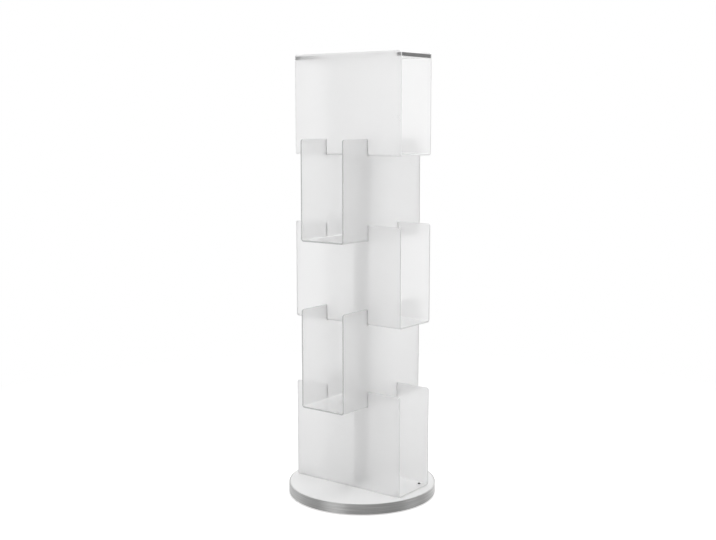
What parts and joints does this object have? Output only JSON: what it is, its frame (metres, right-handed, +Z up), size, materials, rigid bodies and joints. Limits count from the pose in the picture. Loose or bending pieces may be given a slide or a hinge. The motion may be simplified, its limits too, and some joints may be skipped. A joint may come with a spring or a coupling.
{
  "type": "rotating media tower",
  "caption": "Round-based tower of frosted acrylic troughs stacked crosswise round a post, turning on a ball ring, with open-ended compartments for discs in their cases.",
  "frame": {"origin": "on the floor, at the turning axis under the platform", "axes": "+Z up along the turning axis; +X along the lowest, third and uppermost troughs; +Y along the two between"},
  "size_m": [0.4, 0.4, 1.1802],
  "materials": {
    "frosted_acrylic": "satin frosted acrylic sheet, 4 mm, with sawn edges that look darker",
    "white_acrylic": "white acrylic sheet, soft gloss",
    "brushed_steel": "stainless strip brushed along its length",
    "satin_aluminium": "satin anodised tube",
    "zinc_steel": "zinc plated",
    "dark_steel": "blackened steel screw",
    "black_nylon": "moulded nylon",
    "black_paint": "black powder coat on steel plate",
    "fibre_board": "raw fibre board",
    "rubber": "black rubber"
  },
  "bodies": {
    "foot": {"foot_plate": "black_paint", "rubber_foot_1": "rubber", "rubber_foot_2": "rubber", "rubber_foot_3": "rubber", "rubber_foot_4": "rubber", "foot_screw_1": "zinc_steel", "foot_screw_2": "zinc_steel", "foot_screw_3": "zinc_steel", "foot_screw_4": "zinc_steel", "lower_race": "zinc_steel", "lower_race_screw_1": "zinc_steel", "lower_race_screw_2": "zinc_steel", "lower_race_screw_3": "zinc_steel"},
    "ball_ring": {"ball_cage": "black_nylon", "ball_1": "zinc_steel", "ball_2": "zinc_steel", "ball_3": "zinc_steel", "ball_4": "zinc_steel", "ball_5": "zinc_steel", "ball_6": "zinc_steel", "ball_7": "zinc_steel", "ball_8": "zinc_steel", "ball_9": "zinc_steel", "ball_10": "zinc_steel"},
    "tower": {"upper_race": "zinc_steel", "upper_race_screw_1": "zinc_steel", "upper_race_screw_2": "zinc_steel", "upper_race_screw_3": "zinc_steel", "platform_core": "fibre_board", "platform_top": "white_acrylic", "edge_band": "brushed_steel", "trough_1": "frosted_acrylic", "trough_2": "frosted_acrylic", "trough_3": "frosted_acrylic", "trough_4": "frosted_acrylic", "trough_5": "frosted_acrylic", "floor_screw_1": "dark_steel", "floor_screw_2": "dark_steel", "floor_screw_3": "dark_steel", "floor_screw_4": "dark_steel", "post_tube_1": "satin_aluminium", "post_tube_2": "satin_aluminium", "post_tube_3": "satin_aluminium", "post_tube_4": "satin_aluminium", "post_plug_1_lower": "black_nylon", "post_plug_1_upper": "black_nylon", "post_plug_2_lower": "black_nylon", "post_plug_2_upper": "black_nylon", "post_plug_3_lower": "black_nylon", "post_plug_3_upper": "black_nylon", "post_plug_4_lower": "black_nylon", "post_plug_4_upper": "black_nylon", "tie_rod": "zinc_steel", "rod_washer_lower": "zinc_steel", "rod_nut_lower": "zinc_steel", "rod_washer_upper": "zinc_steel", "rod_cap_nut": "zinc_steel", "top_plate": "frosted_acrylic"}
  },
  "joints": [
    {"name": "tower_spin", "type": "hinge", "parent": "foot", "child": "tower", "pos_m": [0, 0, 0.01335], "axis": [0, 0, 1], "continuous": true},
    {"name": "cage_spin", "type": "hinge", "parent": "foot", "child": "ball_ring", "pos_m": [0, 0, 0.01335], "axis": [0, 0, 1], "continuous": true}
  ],
  "couplings": [
    {"joint": "cage_spin", "follows": "tower_spin", "ratio": 0.5}
  ]
}
